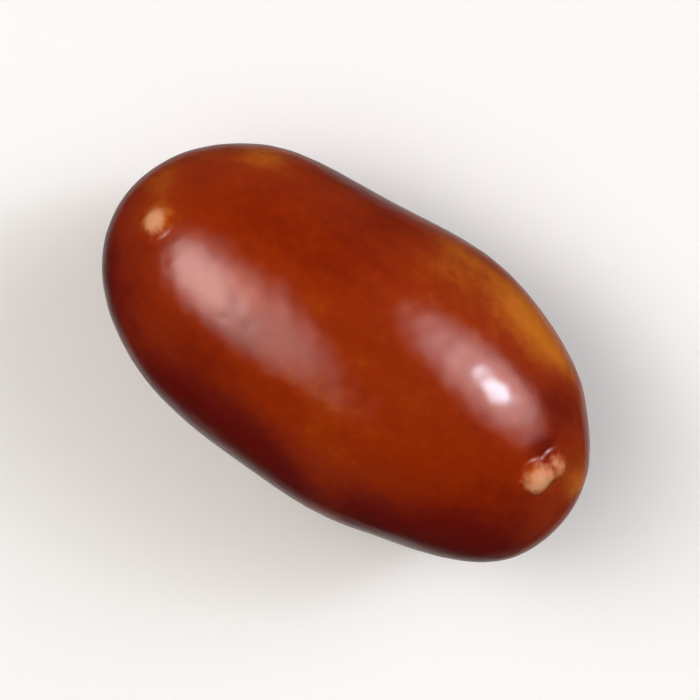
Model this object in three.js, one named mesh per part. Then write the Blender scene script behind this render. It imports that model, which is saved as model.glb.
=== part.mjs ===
// A chocolate-coated fennel seed: one smooth oval comfit of about 12 mm, lying on its side.
// The seed inside is wholly covered, so the comfit is one solid. Its coat follows the seed in a
// softened way: five faint ribs run along it, its flanks swell and dip a little, and the seed's
// two styles and the scar of its stalk stand up through the coat as tiny nibs.
//
// Millimetres, +Z up. +X runs along the comfit towards the styles. The origin is the middle of
// its bounding box on the plane that it rests on.
import * as THREE from "three";
import { mergeVertices } from "three/addons/utils/BufferGeometryUtils.js";

// Driving sizes in millimetres
const LENGTH = 12.1;
const WIDTH = 6.9;
const HEIGHT = 6.4;
const FOOT_DEPTH = 0.07; // how much the resting spot takes off the round belly
const WAVE_HEIGHT = 0.014; // height of each of the broad waves in the coat
const LONGEST_WAVE = 8.5; // from crest to crest
const SHORTEST_WAVE = 3.4;

// Shape without a unit
const BLUNTNESS = 0.15; // 0 is an ellipse, and more fills out both ends
const RIBS = 5;
const RIB_HEIGHT = 0.007; // as a share of the radius
const RIB_TURN = 0.9; // radians, where the first rib lies round the comfit
const WAVES = 6;

// Where the coat built up thicker or thinner in the pan. Each is a direction from the comfit's
// centre, in shares of its half length, width and height, with a height and radius in mm.
const SWELLS = [
  { towards: [0.27, 0.96, 0.1], height: 0.2, radius: 1.7 }, // left flank, before the styles
  { towards: [-0.27, 0.95, 0.15], height: -0.05, radius: 1.8 }, // left flank, behind
  { towards: [0.88, 0.44, 0.1], height: -0.13, radius: 1.1 }, // left of the styles
  { towards: [0.9, -0.43, -0.05], height: 0.13, radius: 1.2 }, // right of the styles
  { towards: [0.5, -0.86, 0.1], height: -0.1, radius: 1.3 }, // right flank, before
  { towards: [-0.5, -0.86, 0.0], height: 0.08, radius: 1.8 }, // right flank, behind
  { towards: [-0.6, 0.79, 0.1], height: 0.1, radius: 1.3 }, // left shoulder of the stalk end
  { towards: [-0.15, 0.1, 0.98], height: 0.06, radius: 2.4 }, // crown
];

// What stands up through the coat, placed in the same way: which way it points, how far it
// stands up and on how wide a foot.
const NIBS = [
  { towards: [0.8, 0.018, 0.6], points: [0.5, -0.1, 0.86], height: 0.24, radius: 0.42 }, // right style
  { towards: [0.83, 0.135, 0.541], points: [0.55, 0.16, 0.82], height: 0.2, radius: 0.38 }, // left style
  { towards: [-0.825, 0.0, 0.565], points: [-0.5, 0.0, 0.86], height: 0.13, radius: 0.4 }, // stalk scar
];
const CREASE = 0.1; // how soft the crease round a nib is, and 0 is sharp

// The comfit is drawn from a box whose faces are this many quads long and wide. One face looks
// towards the styles, and the quads are finest in the middle of it.
const QUADS_ALONG = 24;
const QUADS_ACROSS = 32;
const GATHER = 0.4; // 0 spreads the grid's lines evenly, and more gathers them in the middle
const BOX_TURN = -0.65; // radians about Y

const COAT_COLOUR = 0x8c2c06;
const COAT_ROUGHNESS = 0.22;

// The plain oval: a direction from the centre becomes a point on the comfit's skin.
// An ellipsoid is filled out towards both ends and faintly ribbed.
function oval({ x, y, z }) {
  const round = Math.atan2(z, y);
  const blunt = 1 + BLUNTNESS * x * x;
  const rib = 1 + RIB_HEIGHT * (y * y + z * z) * Math.cos(RIBS * round + RIB_TURN);
  return new THREE.Vector3(
    (LENGTH / 2) * x,
    (WIDTH / 2) * y * blunt * rib,
    (HEIGHT / 2) * z * blunt * rib,
  );
}

// Outward unit normal of the ellipsoid at a direction from its centre.
function outward({ x, y, z }) {
  return new THREE.Vector3(x / LENGTH, y / WIDTH, z / HEIGHT).normalize();
}

// Broad, low waves of a coat that was built up by tumbling. Each is a plane wave through space,
// with its direction on a spiral over the sphere and its wavelength between the two ends.
function waves(point) {
  const goldenAngle = Math.PI * (3 - Math.sqrt(5));
  let height = 0;
  for (let i = 0; i < WAVES; i += 1) {
    const share = (i + 0.5) / WAVES;
    const rise = 1 - 2 * share;
    const flat = Math.sqrt(1 - rise * rise);
    const turn = goldenAngle * i;
    const along = new THREE.Vector3(flat * Math.cos(turn), flat * Math.sin(turn), rise);
    const wavelength = THREE.MathUtils.lerp(LONGEST_WAVE, SHORTEST_WAVE, share);
    height += WAVE_HEIGHT * Math.sin((2 * Math.PI * along.dot(point)) / wavelength + turn);
  }
  return height;
}

// A place named by its direction, set down on the oval.
function onOval(place) {
  return { ...place, centre: oval(new THREE.Vector3(...place.towards).normalize()) };
}

const swells = SWELLS.map(onOval);
const nibs = NIBS.map(onOval);

// A bell that is 1 over its centre and falls off with the square of the distance.
function bell(point, centre, radius) {
  const away = point.distanceTo(centre) / radius;
  return Math.exp(-(away ** 2));
}

// A dome that is 1 over its centre and 0 beyond its radius, with a rounded crease at its foot.
function dome(point, centre, radius) {
  const away = point.distanceTo(centre) / radius;
  return CREASE * Math.log1p(Math.exp((1 - away ** 2) / CREASE));
}

function skin(direction) {
  const point = oval(direction);
  let rise = waves(point);
  for (const { centre, height, radius } of swells) {
    rise += height * bell(point, centre, radius);
  }
  const move = outward(direction).multiplyScalar(rise);
  for (const { centre, points, height, radius } of nibs) {
    const nibRise = height * dome(point, centre, radius);
    move.addScaledVector(new THREE.Vector3(...points).normalize(), nibRise);
  }
  return point.add(move);
}

// A place along a box's edge, from -1 to 1, becomes a slope from its centre. The cube of the
// place gathers the grid's lines, and the tangent spreads what is left evenly over the sphere.
function slope(place) {
  const gathered = (1 - GATHER) * place + GATHER * place ** 3;
  return Math.tan((gathered * Math.PI) / 4);
}

// A box's faces, drawn as grids, are blown up to a sphere of directions, and each of those is
// moved to the skin.
function blownBox() {
  const box = new THREE.BoxGeometry(2, 2, 2, QUADS_ALONG, QUADS_ACROSS, QUADS_ACROSS);
  box.deleteAttribute("normal");
  box.deleteAttribute("uv");
  const geometry = mergeVertices(box);
  const position = geometry.getAttribute("position");
  const yAxis = new THREE.Vector3(0, 1, 0);
  for (let i = 0; i < position.count; i += 1) {
    const direction = new THREE.Vector3(
      slope(position.getX(i)),
      slope(position.getY(i)),
      slope(position.getZ(i)),
    );
    direction.normalize().applyAxisAngle(yAxis, BOX_TURN);
    const point = skin(direction);
    position.setXYZ(i, point.x, point.y, point.z);
  }
  return geometry;
}

// The blown box is brought to its exact sizes, with the middle of its foot at the origin, and
// its belly is pressed flat there.
function comfitGeometry() {
  const geometry = blownBox();
  geometry.center();
  geometry.computeBoundingBox();
  const size = geometry.boundingBox.getSize(new THREE.Vector3());
  const roundHeight = HEIGHT + FOOT_DEPTH;
  geometry.scale(LENGTH / size.x, WIDTH / size.y, roundHeight / size.z);
  geometry.translate(0, 0, roundHeight / 2 - FOOT_DEPTH);
  const position = geometry.getAttribute("position");
  for (let i = 0; i < position.count; i += 1) {
    position.setZ(i, Math.max(position.getZ(i), 0));
  }
  geometry.computeVertexNormals();
  return geometry;
}

const coat = new THREE.MeshStandardMaterial({
  color: COAT_COLOUR,
  roughness: COAT_ROUGHNESS,
  metalness: 0,
});

const comfit = new THREE.Mesh(comfitGeometry(), coat);
comfit.name = "coated_seed";

const part = new THREE.Group();
part.add(comfit);

export default part;
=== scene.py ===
"""A chocolate-coated fennel seed, polished and about 12 mm long, on a plain studio floor.

The coat is one closed surface. It starts as a blunt, ribbed ellipsoid. Broad waves and swells
are heights along its outward normal, and each nib stands up in a direction of its own. This form
is brought to the frame's own sizes, and fine ripples, pimples and pits are added to it along the
normal. All of it is worked out with numpy, for all points at once.
"""

import math

import bpy
import numpy as np
from bpy.props import FloatProperty, FloatVectorProperty, IntProperty, PointerProperty
from mathutils import Matrix, Vector


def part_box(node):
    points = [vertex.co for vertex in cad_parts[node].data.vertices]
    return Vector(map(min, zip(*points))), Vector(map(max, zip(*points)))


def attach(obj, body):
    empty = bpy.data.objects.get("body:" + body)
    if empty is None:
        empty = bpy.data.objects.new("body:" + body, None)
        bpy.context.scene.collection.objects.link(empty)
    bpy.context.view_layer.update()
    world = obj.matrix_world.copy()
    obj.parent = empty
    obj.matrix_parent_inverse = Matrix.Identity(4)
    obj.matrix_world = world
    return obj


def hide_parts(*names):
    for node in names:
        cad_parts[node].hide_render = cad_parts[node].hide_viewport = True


bl_info = {
    "name": "Coated Fennel Seed",
    "version": (1, 0, 0),
    "blender": (4, 5, 0),
    "location": "3D View > Sidebar > Coated Seed",
    "description": "Makes a polished, chocolate-coated fennel seed and the stage it lies on",
    "category": "Add Mesh",
}

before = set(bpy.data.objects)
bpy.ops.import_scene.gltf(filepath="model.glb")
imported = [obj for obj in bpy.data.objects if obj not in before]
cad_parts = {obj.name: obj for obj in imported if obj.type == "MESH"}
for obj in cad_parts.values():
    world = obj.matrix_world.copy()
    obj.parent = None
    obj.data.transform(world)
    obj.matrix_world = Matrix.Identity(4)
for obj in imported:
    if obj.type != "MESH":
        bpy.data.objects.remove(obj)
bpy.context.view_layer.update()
SEED_NODE = "coated_seed"
SEED_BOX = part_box(SEED_NODE)

MM = 0.001
MICRON = 1e-6
GOLDEN_ANGLE = math.pi * (3 - math.sqrt(5))  # points that turn by this spread out evenly

# The plain oval
BLUNTNESS = 0.15  # 0 is an ellipse, and more fills out both ends
RIBS = 5
RIB_SHARE = 0.007  # rib height as a share of the radius
RIB_TURN = 0.9  # radians, where the first rib lies round the seed

# The broad waves left by tumbling, from crest to crest
WAVES = 6
LONGEST_WAVE = 8.5 * MM
SHORTEST_WAVE = 3.4 * MM

# Where the coat built up thicker or thinner in the pan: a direction from the middle, in shares
# of the half length, width and height, then height and radius
SWELLS = (
    ((0.27, 0.96, 0.1), 0.2 * MM, 1.7 * MM),  # left flank, before the styles
    ((-0.27, 0.95, 0.15), -0.05 * MM, 1.8 * MM),  # left flank, behind
    ((0.88, 0.44, 0.1), -0.13 * MM, 1.1 * MM),  # left of the styles
    ((0.9, -0.43, -0.05), 0.13 * MM, 1.2 * MM),  # right of the styles
    ((0.5, -0.86, 0.1), -0.1 * MM, 1.3 * MM),  # right flank, before
    ((-0.5, -0.86, 0.0), 0.08 * MM, 1.8 * MM),  # right flank, behind
    ((-0.6, 0.79, 0.1), 0.1 * MM, 1.3 * MM),  # left shoulder of the stalk end
    ((-0.15, 0.1, 0.98), 0.06 * MM, 2.4 * MM),  # crown
)

# What stands up through the coat: where, which way it points, how far and on how wide a foot,
# and last how much the coat is worn off its tip, a pale patch that also paints its highlight
NIBS = (
    ((0.8, 0.018, 0.6), (0.5, -0.1, 0.86), 0.24 * MM, 0.42 * MM, 1.0),  # right style
    ((0.83, 0.135, 0.541), (0.55, 0.16, 0.82), 0.2 * MM, 0.38 * MM, 0.62),  # left style
    ((-0.825, 0.0, 0.565), (-0.5, 0.0, 0.86), 0.13 * MM, 0.4 * MM, 0.92),  # stalk scar
)
CREASE = 0.1  # how soft the crease round a nib is, and 0 is sharp
# The worn patch on a tip also paints the tip's highlight
WEAR_AND_HIGHLIGHT_SPREAD = 0.88  # radius of the wear on a nib's tip over the radius of the nib

# Fine relief, each pair from the least to the most
RIPPLE_LENGTHS = (1.3 * MM, 3.2 * MM)  # from crest to crest
PEEL_LENGTHS = (0.35 * MM, 0.9 * MM)
RIPPLE_WAVES = 40  # how many plane waves make up the ripples of one kind
PIMPLE_RADII = (0.06 * MM, 0.16 * MM)
PIMPLE_HEIGHTS = (1 * MICRON, 6 * MICRON)
PIT_RADII = (0.04 * MM, 0.08 * MM)
PIT_HEIGHTS = (-12 * MICRON, -4 * MICRON)
SPOT_REACH = 3  # how many radii from its middle a pimple or pit is worked out
FOOT_SOFTNESS = 0.01 * MM  # how softly the belly rounds into the resting spot

# The grid that the coat is drawn on, 300 rings of 320 points, just under 200,000 triangles
RINGS = 300
AROUND = 320
POLE_GATHER = 0.25  # 0 spreads the rings evenly, and more gathers them at both ends

# Patterns in the coat's thickness: their size along, across and up the seed, and their strength
CLOUDS = (
    ((2.2 * MM, 2.2 * MM, 2.2 * MM), 1.7),  # where one coat lies thicker than the next
    ((5.0 * MM, 0.9 * MM, 0.9 * MM), 1.1),  # where the seed's ridges show through
    ((0.22 * MM, 0.22 * MM, 0.22 * MM), 0.8),  # specks of cocoa, coarser than real, to show
)
CHIP_SIZE = 0.2 * MM  # of the chips at the edge of a worn tip
CHIP_DEPTH = 20 * MICRON
CHIP_SHARE = 0.9  # how much the chips count against the wear where that edge is drawn
# Full wear also paints the pale highlight on the tips
WEAR_AND_HIGHLIGHT_TONE = -1.6  # what full wear adds to the coat's tone
SCUFF_SIZE = 1.1 * MM
GRAIN_SIZE = 0.12 * MM  # coarser than real cocoa and sugar, to show
GRAIN_HEIGHT = 3.5 * MICRON

# Darker coat above 0 and lighter, more amber coat below 0: a direction as above, an amount and
# a radius. Some are where the coat is thick and dark or so thin that the seed shows through; those
# noted below are painted shade and painted light instead
TONES_AND_PAINTED_LIGHT = (
    # painted reflected light, amber, on the left flank
    ((0.12, 0.87, 0.42), -0.8, 0.75 * MM),  # left flank, where it bulges
    # painted reflected light, amber, on the left flank
    ((0.39, 0.82, 0.38), -1.3, 0.85 * MM),  # left flank, before the bulge
    # painted reflected light, amber, on the left flank
    ((0.6, 0.7, 0.32), -1.25, 0.75 * MM),  # left of the styles
    ((0.48, 0.55, 0.68), 0.4, 0.6 * MM),  # left side of the crown, before
    # painted reflected light, amber, on the left flank
    ((-0.66, 0.66, 0.4), -0.4, 0.7 * MM),  # left shoulder of the stalk end
    # painted reflected light, amber, on the left flank
    ((-0.33, 0.76, 0.55), -0.5, 0.7 * MM),  # left flank, behind the bulge
    # painted shade, low on the left flank
    ((-0.38, 0.93, 0.0), 0.6, 1.2 * MM),  # left flank, low down
    ((-0.56, 0.42, 0.71), 0.5, 0.8 * MM),  # stalk end, left of the scar
    # painted reflected light, amber
    ((-0.84, 0.46, 0.3), -0.5, 0.7 * MM),  # stalk end, far left of the scar
    # painted shade on the left flank
    ((-0.3, 0.6, 0.72), 0.45, 2.0 * MM),  # left side of the crown, behind
    ((0.7, 0.45, 0.55), 0.8, 0.75 * MM),  # crown, left of the styles
    # painted shade in the crease behind the styles
    ((0.775, 0.17, 0.61), 0.9, 0.35 * MM),  # behind the styles
    # painted light, amber, on the tip's lit side
    ((0.95, 0.12, 0.28), -0.9, 0.45 * MM),  # tip, before the styles
    # painted shade, here and in the next two, along the right flank
    ((-0.42, -0.79, 0.42), 1.3, 1.35 * MM),  # right flank, behind
    ((-0.05, -0.88, 0.43), 1.45, 1.4 * MM),  # right flank, in the middle
    ((0.45, -0.78, 0.42), 1.2, 1.35 * MM),  # right flank, before
    ((0.2, -0.5, 0.84), -0.4, 1.1 * MM),  # right side of the crown
    ((-0.58, -0.45, 0.67), -0.4, 0.8 * MM),  # stalk end, right of the scar
    # painted shade, low at the stalk end
    ((-0.88, -0.45, 0.15), 1.4, 1.3 * MM),  # stalk end, low down
    # painted shade on the right flank
    ((0.74, -0.55, 0.4), 1.4, 1.4 * MM),  # right of the styles
    # painted shade, darker towards the bottom
    ((0.0, 0.0, -1.0), 0.6, 4.0 * MM),  # belly
)

# The stage. Its lengths are in metres.
PAPER_RINGS = (0.02, 0.06, 0.14, 0.28)  # radii of the rings in the paper's flat middle
PAPER_FLAT = 0.42  # radius of that flat middle
PAPER_BEND = 0.16  # radius of its bend up into the wall
PAPER_BEND_RINGS = 17
PAPER_LEAN = 80  # degrees that the wall's rim leans up from the floor
PAPER_SIDES = 72
LIGHT_DISTANCE = 1.2
SOFTBOX_MIDDLE = (0.5, 0.5, 0.0)  # in a light's own coordinates, which run from 0 to 1
SOFTBOX_RIM = 0.5  # how far from there its light has faded to nothing
SOFTBOX_CORE = 0.1  # how far from there it is still at its brightest

# Each softbox: degrees from straight up, degrees up the picture from its right-hand side, its
# size as seen from the seed in degrees, along it and across it, how many degrees it is turned on
# its own face against the seed's long axis, the brightness of its middle against white paper and
# the colour of its light. It fades to nothing at its rim.
SOFTBOXES = {
    "left_softbox": (33, 172, 84, 56, -22, 2.7, (1.0, 0.96, 0.94)),
    "left_softbox_lamp": (43, 164, 46, 36, -22, 4.2, (1.0, 0.93, 0.93)),
    "right_softbox": (53, 18, 56, 60, 0, 4.4, (0.98, 0.94, 1.0)),
    "right_softbox_lamp": (53, 16, 13, 24, 0, 21.0, (0.66, 0.84, 1.0)),
}

# A broad light overhead that doesn't show in the gloss, given in the same way
FILL = (0, 0, 110, 110, 0, 0.64, (0.98, 1.0, 0.95))

# The dim studio all round. The gloss shows it in place of the paper: nearly black at every side,
# and a faint glow from straight below.
STUDIO_COLOUR = (1.0, 0.92, 0.86)
STUDIO_DIM = 0.008
STUDIO_GLOW = 0.3
STRAIGHT_DOWN = -1.0  # as the Z of a direction one long
GLOW_RIM = -0.7  # where the glow has faded, in the same way


def linear(hex_colour):
    """An sRGB colour written as "#rrggbb", as linear red, green and blue."""
    channels = [int(hex_colour[i : i + 2], 16) / 255 for i in (1, 3, 5)]
    return tuple(c / 12.92 if c <= 0.04045 else ((c + 0.055) / 1.055) ** 2.4 for c in channels)


class CoatedSeedSizes(bpy.types.PropertyGroup):
    """Sizes of the coated seed. The first three are the frame's own."""

    length: FloatProperty(
        name="Length",
        description="Along the seed, from its stalk end to its styles",
        default=SEED_BOX[1][0] - SEED_BOX[0][0],
        unit="LENGTH",
        precision=5,
    )
    width: FloatProperty(
        name="Width",
        description="Across the seed, level with the floor",
        default=SEED_BOX[1][1] - SEED_BOX[0][1],
        unit="LENGTH",
        precision=5,
    )
    height: FloatProperty(
        name="Height",
        description="From the resting spot to the crown",
        default=SEED_BOX[1][2] - SEED_BOX[0][2],
        unit="LENGTH",
        precision=5,
    )
    foot_depth: FloatProperty(
        name="Foot depth",
        description="How much the resting spot takes off the round belly",
        default=0.07 * MM,
        unit="LENGTH",
        precision=6,
    )
    wave_height: FloatProperty(
        name="Wave height",
        description="Height of each of the broad waves left by tumbling",
        default=0.014 * MM,
        unit="LENGTH",
        precision=6,
    )
    ripple_height: FloatProperty(
        name="Ripple height",
        description="Height of the ripples, a few mm from crest to crest, that bend the highlights",
        default=5.5 * MICRON,
        unit="LENGTH",
        precision=7,
    )
    peel_height: FloatProperty(
        name="Orange peel height",
        description="Height of the finest ripples, under 1 mm from crest to crest",
        default=1.4 * MICRON,
        unit="LENGTH",
        precision=7,
    )
    pimples: IntProperty(
        name="Pimples",
        description="How many sugar grains stand up under the glaze",
        default=46,
        min=0,
    )
    pits: IntProperty(
        name="Pits",
        description="How many pinholes are left by bubbles in the coat",
        default=18,
        min=0,
    )
    seed: IntProperty(
        name="Random seed",
        description="Sets where the ripples, pimples and pits fall",
        default=7,
    )


class CoatedSeedColours(bpy.types.PropertyGroup):
    """Colours of the coat, of the seed that shows through it and of the stage. Three of the coat's
    colours also paint shade, light and highlights on it.
    """

    chestnut: FloatVectorProperty(
        name="Chestnut",
        description="Most of the coat",
        subtype="COLOR",
        default=linear("#8c2601"),
        min=0.0,
        max=1.0,
    )
    # Oxblood also paints shade on the flanks, the stalk end, the belly and behind the styles
    oxblood_and_shade: FloatVectorProperty(
        name="Oxblood",
        description="Where the coat is thickest",
        subtype="COLOR",
        default=linear("#640601"),
        min=0.0,
        max=1.0,
    )
    # Amber also paints reflected and direct light on the left flank and the tip
    amber_and_painted_light: FloatVectorProperty(
        name="Amber",
        description="Where the coat is thin and the seed shows through",
        subtype="COLOR",
        default=linear("#c46a10"),
        min=0.0,
        max=1.0,
    )
    # Tan also paints the highlight on the nibs' tips and the stalk scar
    tan: FloatVectorProperty(
        name="Tan",
        description="On the tips, where the coat is worn through to the dry seed",
        subtype="COLOR",
        default=linear("#cc9069"),
        min=0.0,
        max=1.0,
    )
    floor: FloatVectorProperty(
        name="Floor",
        description="The pale studio floor",
        subtype="COLOR",
        default=linear("#eeece8"),
        min=0.0,
        max=1.0,
    )


class CoatedSeedStage(bpy.types.PropertyGroup):
    """The camera, the lights and the floor."""

    picture_width: FloatProperty(
        name="Picture width",
        description="How much the picture takes in from side to side, level with the seed's middle",
        default=15.5 * MM,
        unit="LENGTH",
        precision=5,
    )
    lens: FloatProperty(
        name="Lens",
        description="Focal length. A long one shows the seed nearly without perspective",
        default=150.0,
        unit="CAMERA",
    )
    slant: FloatProperty(
        name="Slant",
        description="How far the seed's long axis points below the picture's right-hand side",
        default=math.radians(34.3),
        subtype="ANGLE",
    )
    light: FloatProperty(
        name="Light",
        description="Brightness of all lights together, against the studio's own setting",
        default=1.0,
        min=0.0,
    )


def half_sizes(sizes):
    """Half the length, width and height of the seed, before its belly is pressed flat."""
    return np.array([sizes.length, sizes.width, sizes.height + sizes.foot_depth]) / 2


def unit_directions():
    """Directions from the seed's middle: rings along it, with one point at either end.

    A ring's angle from the +X end runs from 0 to pi, less a sine that gathers the rings at both
    ends. The angle round the X axis starts at +Y and turns towards +Z.
    """
    ring = np.pi * np.arange(1, RINGS + 1) / (RINGS + 1)
    polar = ring - POLE_GATHER * np.sin(2 * ring) / 2
    turn = 2 * np.pi * np.arange(AROUND) / AROUND
    polar, turn = np.meshgrid(polar, turn, indexing="ij")
    grid = np.stack(
        [np.cos(polar), np.sin(polar) * np.cos(turn), np.sin(polar) * np.sin(turn)], axis=-1
    )
    return np.vstack([[(1.0, 0.0, 0.0)], grid.reshape(-1, 3), [(-1.0, 0.0, 0.0)]])


def ring_faces(rings, around, closed):
    """Faces over a first point and the rings of points that follow it: a fan of triangles to the
    first ring and quads from each ring to the next. A closed surface has a last point too, with
    a fan to the last ring."""
    point = 1 + np.arange(rings * around).reshape(rings, around)
    beside = np.roll(point, -1, axis=1)
    front = np.stack([np.zeros(around, dtype=int), point[0], beside[0]], axis=-1)
    quads = np.stack([point[:-1], point[1:], beside[1:], beside[:-1]], axis=-1).reshape(-1, 4)
    faces = front.tolist() + quads.tolist()
    if closed:
        last = np.full(around, rings * around + 1)
        faces += np.stack([last, beside[-1], point[-1]], axis=-1).tolist()
    return faces


def oval(direction, half):
    """The plain oval: each direction, stretched by the half sizes, with its width and height
    filled out towards both ends by the square of x, and ribbed by a cosine of the turn."""
    x, y, z = direction.T
    blunt = 1 + BLUNTNESS * x**2
    rib = 1 + RIB_SHARE * (y**2 + z**2) * np.cos(RIBS * np.arctan2(z, y) + RIB_TURN)
    across = blunt * rib
    return np.stack([half[0] * x, half[1] * y * across, half[2] * z * across], axis=-1)


def outward(direction, half):
    """Unit normals of the ellipsoid: each direction over the half sizes, made one long."""
    normal = direction / half
    return normal / np.linalg.norm(normal, axis=1, keepdims=True)


def broad_waves(point, height):
    """The sum of a few plane waves through space. Their directions lie on a spiral over the
    sphere, and their lengths run evenly from the longest to the shortest."""
    rise = np.zeros(len(point))
    for i in range(WAVES):
        share = (i + 0.5) / WAVES
        up = 1 - 2 * share
        flat = math.sqrt(1 - up**2)
        turn = GOLDEN_ANGLE * i
        along = np.array([flat * math.cos(turn), flat * math.sin(turn), up])
        wavelength = LONGEST_WAVE + (SHORTEST_WAVE - LONGEST_WAVE) * share
        rise += height * np.sin(2 * np.pi * (point @ along) / wavelength + turn)
    return rise


def bell(point, centre, radius):
    """1 at the centre, falling off as the exponential of minus the square of the distance."""
    away = np.linalg.norm(point - centre, axis=1) / radius
    return np.exp(-(away**2))


def place_on_oval(towards, half):
    """The point of the oval in this direction."""
    direction = np.array([towards]) / np.linalg.norm(towards)
    return oval(direction, half)[0]


def dome(point, centre, radius):
    """1 at the centre and 0 beyond the radius: one less the square of the distance, with a soft
    maximum that rounds the crease at its foot."""
    away = np.linalg.norm(point - centre, axis=1) / radius
    return CREASE * np.logaddexp(0, (1 - away**2) / CREASE)


def nib_relief(point, half):
    """Moves the skin along each nib's own direction by a dome."""
    move = np.zeros_like(point)
    for towards, points_to, height, radius, _ in NIBS:
        rise = height * dome(point, place_on_oval(towards, half), radius)
        move += np.outer(rise, points_to) / np.linalg.norm(points_to)
    return move


def coat_tone_with_painted_light(point, half):
    """The sum of the tones' bells, which paint shade and light on the coat besides its own uneven
    thickness.
    """
    tone_with_painted_light = np.zeros(len(point))
    for towards, amount, radius in TONES_AND_PAINTED_LIGHT:
        tone_with_painted_light += amount * bell(point, place_on_oval(towards, half), radius)
    return tone_with_painted_light


def tip_wear_and_highlight(point, half):
    """The highest of the bells on the nibs' tips, each narrower than its nib. They mark where the
    coat is worn and also paint the tips' highlight.
    """
    wear_and_highlight = np.zeros(len(point))
    for towards, _, _, radius, amount in NIBS:
        centre = place_on_oval(towards, half)
        wear_and_highlight = np.maximum(wear_and_highlight, amount * bell(point, centre, radius * WEAR_AND_HIGHLIGHT_SPREAD))
    return wear_and_highlight


def ripples(point, rng, lengths, height):
    """Ripples with no direction of their own: many plane waves at random through space, each
    with a length between the two given, added up and scaled so that height is their usual size."""
    along = rng.normal(size=(RIPPLE_WAVES, 3))
    along /= np.linalg.norm(along, axis=1, keepdims=True)
    wavelength = rng.uniform(*lengths, RIPPLE_WAVES)
    start = rng.uniform(0, 2 * np.pi, RIPPLE_WAVES)
    rise = np.zeros(len(point))
    for i in range(RIPPLE_WAVES):
        rise += np.cos(2 * np.pi * (point @ along[i]) / wavelength[i] + start[i])
    return rise * height * math.sqrt(2 / RIPPLE_WAVES)


def spots(point, rng, count, half, radii, heights):
    """Small bells scattered over the oval, with radii and heights at random within the pairs."""
    rise = np.zeros(len(point))
    for _ in range(count):
        centre = place_on_oval(rng.normal(size=3), half)
        radius = rng.uniform(*radii)
        height = rng.uniform(*heights)
        near = np.linalg.norm(point - centre, axis=1) < SPOT_REACH * radius
        rise[near] += height * bell(point[near], centre, radius)
    return rise


def coat_surface(sizes):
    """Points of the finished coat, and at each the shift of its colour, which holds painted shade
    and painted light, and how worn it is, which also paints the tips' highlight.

    The form is the oval with its broad relief and its nibs, centred and stretched to the frame's
    box. The fine relief goes on top of that. Last, a soft maximum presses the belly flat on the
    floor.
    """
    half = half_sizes(sizes)
    direction = unit_directions()
    normal = outward(direction, half)
    point = oval(direction, half)

    tone_with_painted_light, wear_and_highlight = coat_tone_with_painted_light(point, half), tip_wear_and_highlight(point, half)
    rise = broad_waves(point, sizes.wave_height)
    for towards, height, radius in SWELLS:
        rise += height * bell(point, place_on_oval(towards, half), radius)
    point = point + normal * rise[:, None] + nib_relief(point, half)

    low, high = point.min(axis=0), point.max(axis=0)
    point = (point - (low + high) / 2) * (2 * half / (high - low))

    rng = np.random.default_rng(sizes.seed)
    rise = ripples(point, rng, RIPPLE_LENGTHS, sizes.ripple_height)
    rise += ripples(point, rng, PEEL_LENGTHS, sizes.peel_height)
    rise += spots(point, rng, sizes.pimples, half, PIMPLE_RADII, PIMPLE_HEIGHTS)
    rise += spots(point, rng, sizes.pits, half, PIT_RADII, PIT_HEIGHTS)
    point += normal * rise[:, None]

    point[:, 2] += half[2] - sizes.foot_depth
    point[:, 2] = FOOT_SOFTNESS * np.logaddexp(0, point[:, 2] / FOOT_SOFTNESS)
    return point, tone_with_painted_light, wear_and_highlight


def add_node(tree, kind, inputs=(), **settings):
    """Adds a node, sets its own settings, then sets or links its inputs, given as pairs of a
    socket's name or number and a value or another node's output."""
    node = tree.nodes.new(kind)
    for name, value in settings.items():
        setattr(node, name, value)
    for socket, value in dict(inputs).items():
        if isinstance(value, bpy.types.NodeSocket):
            tree.links.new(value, node.inputs[socket])
        else:
            node.inputs[socket].default_value = value
    return node


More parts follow.
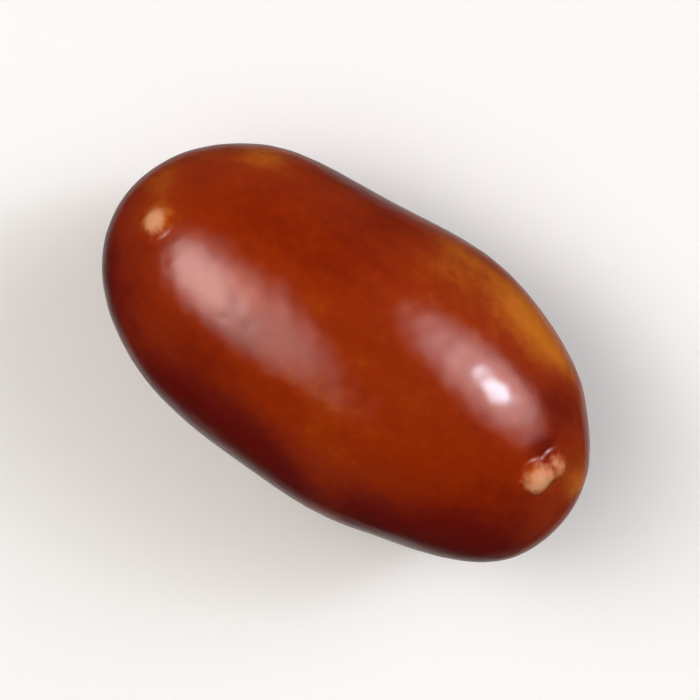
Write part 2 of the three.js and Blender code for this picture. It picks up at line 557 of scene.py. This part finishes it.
def panned_chocolate(colours):
    """Chocolate that was built up in a revolving pan and sealed with clear edible shellac.

    To the eye that is a deep, slightly see-through brown with soft clouds, where coats of
    different thickness overlap, under a clear skin that blurs highlights only at their edges.
    On the nibs' tips the coat is rubbed through to the dry, matt seed, which also paints their
    highlight. Some darker and lighter places on the coat are painted shade and painted light.
    """
    material = bpy.data.materials.new("panned_chocolate_under_shellac")
    material.use_nodes = True
    tree = material.node_tree
    tree.nodes.clear()
    place = add_node(tree, "ShaderNodeTexCoord").outputs["Object"]

    # The coat's tone at each place, which holds painted shade and painted light, with clouds,
    # streaks and specks
    tone_with_painted_light = add_node(tree, "ShaderNodeAttribute", attribute_name="coat_tone_with_painted_light").outputs["Fac"]
    for pattern, strength in CLOUDS:
        stretched = add_node(
            tree, "ShaderNodeVectorMath", {0: place, 1: pattern}, operation="DIVIDE"
        )
        noise = add_node(
            tree,
            "ShaderNodeTexNoise",
            {"Vector": stretched.outputs["Vector"], "Scale": 1.0, "Detail": 3.0, "Roughness": 0.5},
        )
        centred = add_node(
            tree, "ShaderNodeMath", {0: noise.outputs["Fac"], 1: 0.5}, operation="SUBTRACT"
        )
        added = add_node(
            tree,
            "ShaderNodeMath",
            {0: centred.outputs["Value"], 1: strength, 2: tone_with_painted_light},
            operation="MULTIPLY_ADD",
        )
        tone_with_painted_light = added.outputs["Value"]

    # Towards a worn tip the coat gets thin, so the seed shows through before it is bare, and this
    # also paints the tip's highlight
    wear_and_highlight = add_node(tree, "ShaderNodeAttribute", attribute_name="tip_wear_and_highlight").outputs["Fac"]
    thinned_and_highlit = add_node(
        tree, "ShaderNodeMath", {0: wear_and_highlight, 1: WEAR_AND_HIGHLIGHT_TONE, 2: tone_with_painted_light}, operation="MULTIPLY_ADD"
    )
    tone_with_painted_light = thinned_and_highlit.outputs["Value"]

    # How far the tone goes towards the thickest coat and painted shade, and towards the thinnest
    # coat and painted light
    thick_and_shaded = add_node(
        tree,
        "ShaderNodeMapRange",
        {"Value": tone_with_painted_light, "From Min": -0.1, "From Max": 1.2},
        interpolation_type="SMOOTHSTEP",
    )
    thin_and_lit = add_node(
        tree,
        "ShaderNodeMapRange",
        {"Value": tone_with_painted_light, "From Min": 0.1, "From Max": -1.5},
        interpolation_type="SMOOTHSTEP",
    )

    # The coat has come off a tip in small chips, most of all in its middle, and the bare patch also
    # paints the tip's highlight
    chips = add_node(
        tree,
        "ShaderNodeTexNoise",
        {"Vector": place, "Scale": 1 / CHIP_SIZE, "Detail": 5.0, "Roughness": 0.65},
    )
    chipped = add_node(
        tree,
        "ShaderNodeMath",
        {0: chips.outputs["Fac"], 1: CHIP_SHARE, 2: wear_and_highlight},
        operation="MULTIPLY_ADD",
    )
    # worn also marks the painted highlight on the tips
    worn = add_node(
        tree,
        "ShaderNodeMapRange",
        {"Value": chipped.outputs["Value"], "From Min": 0.7, "From Max": 1.35},
        interpolation_type="SMOOTHSTEP",
    )

    # Oxblood where the coat is thick and where shade is painted, amber where it is thin and where
    # light is painted, and tan where it is gone, which also paints the tips' highlight
    deep = add_node(
        tree,
        "ShaderNodeMix",
        {
            "Factor": thick_and_shaded.outputs["Result"],
            "A": (*colours.chestnut, 1),
            "B": (*colours.oxblood_and_shade, 1),
        },
        data_type="RGBA",
    )
    warm = add_node(
        tree,
        "ShaderNodeMix",
        {"Factor": thin_and_lit.outputs["Result"], "A": deep.outputs[2], "B": (*colours.amber_and_painted_light, 1)},
        data_type="RGBA",
    )
    base = add_node(
        tree,
        "ShaderNodeMix",
        {"Factor": worn.outputs["Result"], "A": warm.outputs[2], "B": (*colours.tan, 1)},
        data_type="RGBA",
    )

    # The dry tips have no glaze, and it is thin in the crease round them
    glaze = add_node(
        tree,
        "ShaderNodeMapRange",
        {"Value": wear_and_highlight, "From Min": 0.02, "From Max": 0.4, "To Min": 1.0, "To Max": 0.1},
        interpolation_type="SMOOTHSTEP",
    )

    # Scuffs where seeds rubbed on each other, as rougher patches
    scuffs = add_node(
        tree,
        "ShaderNodeTexNoise",
        {"Vector": place, "Scale": 1 / SCUFF_SIZE, "Detail": 8.0, "Roughness": 0.7},
    )
    roughness = add_node(
        tree,
        "ShaderNodeMapRange",
        {
            "Value": scuffs.outputs["Fac"],
            "From Min": 0.35,
            "From Max": 0.75,
            "To Min": 0.3,
            "To Max": 0.46,
        },
    )

    # The chipped places lie a little lower than the coat round them. They and the grain of cocoa
    # and sugar under the glaze are too fine to be in the mesh.
    grain = add_node(
        tree,
        "ShaderNodeTexNoise",
        {"Vector": place, "Scale": 1 / GRAIN_SIZE, "Detail": 3.0, "Roughness": 0.6},
    )
    grain_bump = add_node(
        tree,
        "ShaderNodeBump",
        {"Strength": 1.0, "Distance": GRAIN_HEIGHT, "Height": grain.outputs["Fac"]},
    )
    worn_bump = add_node(
        tree,
        "ShaderNodeBump",
        {
            "Strength": 1.0,
            "Distance": -CHIP_DEPTH,
            "Height": worn.outputs["Result"],
            "Normal": grain_bump.outputs["Normal"],
        },
    )

    # Chocolate whose own gloss is tinted brown, under clear shellac. Light goes about half a
    # millimetre into it, and red goes farthest.
    shader = add_node(
        tree,
        "ShaderNodeBsdfPrincipled",
        {
            "Base Color": base.outputs[2],
            "Roughness": roughness.outputs["Result"],
            "IOR": 1.48,
            "Specular IOR Level": 0.5,
            "Specular Tint": (1.0, 0.22, 0.06, 1.0),
            "Subsurface Weight": 0.25,
            "Subsurface Radius": (1.0, 0.28, 0.1),
            "Subsurface Scale": 0.5 * MM,
            "Coat Weight": glaze.outputs["Result"],
            "Coat Roughness": 0.11,
            "Coat IOR": 1.5,
            "Normal": worn_bump.outputs["Normal"],
        },
    )
    add_node(tree, "ShaderNodeOutputMaterial", {"Surface": shader.outputs["BSDF"]})
    return material


def matt_paper(colour):
    """Matt seamless studio paper, a pale and even ground."""
    material = bpy.data.materials.new("matt_studio_paper")
    material.use_nodes = True
    shader = material.node_tree.nodes["Principled BSDF"]
    shader.inputs["Base Color"].default_value = (*colour, 1)
    shader.inputs["Roughness"].default_value = 0.9
    shader.inputs["Specular IOR Level"].default_value = 0.2
    return material


def mesh_object(name, points, faces, material):
    """A smooth mesh object at the origin, made of these points and faces."""
    mesh = bpy.data.meshes.new(name)
    mesh.from_pydata(points.tolist(), [], faces)
    mesh.validate()
    mesh.polygons.foreach_set("use_smooth", np.ones(len(mesh.polygons), dtype=bool))
    mesh.materials.append(material)
    mesh.update()
    piece = bpy.data.objects.new(name, mesh)
    bpy.context.scene.collection.objects.link(piece)
    return piece


class COATEDSEED_OT_seed(bpy.types.Operator):
    """Make the coated seed in place of its plain solid"""

    bl_idname = "coated_seed.add_seed"
    bl_label = "Add Coated Seed"
    bl_options = {"REGISTER", "UNDO"}

    def execute(self, context):
        sizes = context.scene.coated_seed_sizes
        points, tone_with_painted_light, wear_and_highlight = coat_surface(sizes)
        if not np.isfinite(points).all():
            raise RuntimeError("The seed's sizes give points that aren't numbers")
        material = panned_chocolate(context.scene.coated_seed_colours)
        faces = ring_faces(RINGS, AROUND, closed=True)
        piece = mesh_object("polished_coated_seed", points, faces, material)
        for name, values in (("coat_tone_with_painted_light", tone_with_painted_light), ("tip_wear_and_highlight", wear_and_highlight)):
            piece.data.attributes.new(name, "FLOAT", "POINT").data.foreach_set("value", values)
        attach(piece, "root")
        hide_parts(SEED_NODE)
        return {"FINISHED"}


def paper_sweep():
    """Points and faces of the paper: a flat disc whose rim bends up into a low round wall, as a
    profile turned about the vertical."""
    bend = np.radians(np.linspace(0, PAPER_LEAN, PAPER_BEND_RINGS))
    radius = np.concatenate([PAPER_RINGS, PAPER_FLAT + PAPER_BEND * np.sin(bend)])
    rise = np.concatenate([np.zeros(len(PAPER_RINGS)), PAPER_BEND * (1 - np.cos(bend))])
    turn = 2 * np.pi * np.arange(PAPER_SIDES) / PAPER_SIDES
    grid = np.stack(
        [
            np.outer(radius, np.cos(turn)),
            np.outer(radius, np.sin(turn)),
            np.outer(rise, np.ones(PAPER_SIDES)),
        ],
        axis=-1,
    )
    points = np.vstack([np.zeros((1, 3)), grid.reshape(-1, 3)])
    return points, ring_faces(len(radius), PAPER_SIDES, closed=False)


def picture_axes(slant):
    """The picture's right-hand side and its top, as directions over the floor."""
    right = Vector((math.cos(slant), math.sin(slant), 0))
    top = Vector((-math.sin(slant), math.cos(slant), 0))
    return right, top


def softbox_light(name, softbox, stage):
    """An elliptical area light that faces the seed. Its brightness falls from its middle to its
    rim as a smooth step."""
    from_top, up_picture, along, across, face_turn, brightness, colour = softbox
    right, top = picture_axes(stage.slant)
    tilt, turn = math.radians(from_top), math.radians(up_picture)
    over_floor = math.cos(turn) * right + math.sin(turn) * top
    towards = math.sin(tilt) * over_floor + math.cos(tilt) * Vector((0, 0, 1))
    light = bpy.data.lights.new(name, "AREA")
    light.shape = "ELLIPSE"
    light.color = colour
    light.size = 2 * LIGHT_DISTANCE * math.tan(math.radians(along) / 2)
    light.size_y = 2 * LIGHT_DISTANCE * math.tan(math.radians(across) / 2)
    area = math.pi * light.size * light.size_y / 4
    light.energy = stage.light * brightness * math.pi * area

    light.use_nodes = True
    tree = light.node_tree
    tree.nodes.clear()
    place = add_node(tree, "ShaderNodeNewGeometry").outputs["Parametric"]
    away = add_node(
        tree, "ShaderNodeVectorMath", {0: place, 1: SOFTBOX_MIDDLE}, operation="DISTANCE"
    )
    fade = add_node(
        tree,
        "ShaderNodeMapRange",
        {"Value": away.outputs["Value"], "From Min": SOFTBOX_RIM, "From Max": SOFTBOX_CORE},
        interpolation_type="SMOOTHSTEP",
    )
    glow = add_node(tree, "ShaderNodeEmission", {"Strength": fade.outputs["Result"]})
    add_node(tree, "ShaderNodeOutputLight", {"Surface": glow.outputs["Emission"]})

    long_way = Vector((math.cos(math.radians(face_turn)), math.sin(math.radians(face_turn)), 0))
    side = towards.cross(long_way).normalized()
    lamp = bpy.data.objects.new(name, light)
    lamp.location = LIGHT_DISTANCE * towards
    lamp.rotation_euler = Matrix((side.cross(towards), side, towards)).transposed().to_euler()
    lamp.visible_camera = False
    bpy.context.scene.collection.objects.link(lamp)
    return lamp


class COATEDSEED_OT_stage(bpy.types.Operator):
    """Make the paper floor, the soft lights and the camera that looks straight down"""

    bl_idname = "coated_seed.add_stage"
    bl_label = "Add Stage"
    bl_options = {"REGISTER", "UNDO"}

    def execute(self, context):
        scene = context.scene
        stage = scene.coated_seed_stage
        middle = Vector((0, 0, scene.coated_seed_sizes.height / 2))
        points, faces = paper_sweep()
        material = matt_paper(scene.coated_seed_colours.floor)
        paper = mesh_object("studio_paper", points, faces, material)
        paper.visible_glossy = False  # as black cards keep it out of the seed's gloss

        for name, softbox in SOFTBOXES.items():
            softbox_light(name, softbox, stage)
        fill = softbox_light("overhead_fill", FILL, stage)
        fill.visible_glossy = False

        world = bpy.data.worlds.new("dim_studio")
        world.use_nodes = True
        tree = world.node_tree
        towards = add_node(tree, "ShaderNodeTexCoord").outputs["Generated"]
        upwards = add_node(tree, "ShaderNodeSeparateXYZ", {"Vector": towards}).outputs["Z"]
        dimming = add_node(
            tree,
            "ShaderNodeMapRange",
            {
                "Value": upwards,
                "From Min": STRAIGHT_DOWN,
                "From Max": GLOW_RIM,
                "To Min": stage.light * STUDIO_GLOW,
                "To Max": stage.light * STUDIO_DIM,
            },
            interpolation_type="SMOOTHSTEP",
        )
        background = tree.nodes["Background"]
        tree.links.new(dimming.outputs["Result"], background.inputs["Strength"])
        background.inputs["Color"].default_value = (*STUDIO_COLOUR, 1)
        scene.world = world
        scene.view_settings.view_transform = "Standard"

        data = bpy.data.cameras.new("camera")
        data.lens = stage.lens
        data.clip_start = 1 * MM
        camera = bpy.data.objects.new("camera", data)
        away = stage.picture_width * stage.lens / data.sensor_width
        camera.location = middle + Vector((0, 0, away))
        camera.rotation_euler = (0, 0, stage.slant)
        scene.collection.objects.link(camera)
        scene.camera = camera
        return {"FINISHED"}


class COATEDSEED_PT_panel(bpy.types.Panel):
    """Lists the seed's sizes and colours, and makes its pieces"""

    bl_idname = "COATEDSEED_PT_panel"
    bl_label = "Coated Seed"
    bl_space_type = "VIEW_3D"
    bl_region_type = "UI"
    bl_category = "Coated Seed"

    def draw(self, context):
        layout = self.layout
        for group in (
            context.scene.coated_seed_sizes,
            context.scene.coated_seed_colours,
            context.scene.coated_seed_stage,
        ):
            column = layout.column(align=True)
            for name in group.__annotations__:
                column.prop(group, name)
        layout.operator(COATEDSEED_OT_seed.bl_idname)
        layout.operator(COATEDSEED_OT_stage.bl_idname)


CLASSES = (
    CoatedSeedSizes,
    CoatedSeedColours,
    CoatedSeedStage,
    COATEDSEED_OT_seed,
    COATEDSEED_OT_stage,
    COATEDSEED_PT_panel,
)


def register():
    for cls in CLASSES:
        bpy.utils.register_class(cls)
    bpy.types.Scene.coated_seed_sizes = PointerProperty(type=CoatedSeedSizes)
    bpy.types.Scene.coated_seed_colours = PointerProperty(type=CoatedSeedColours)
    bpy.types.Scene.coated_seed_stage = PointerProperty(type=CoatedSeedStage)


def unregister():
    del bpy.types.Scene.coated_seed_stage
    del bpy.types.Scene.coated_seed_colours
    del bpy.types.Scene.coated_seed_sizes
    for cls in reversed(CLASSES):
        bpy.utils.unregister_class(cls)


def main():
    register()
    bpy.ops.coated_seed.add_seed()
    bpy.ops.coated_seed.add_stage()


if __name__ == "__main__":
    main()
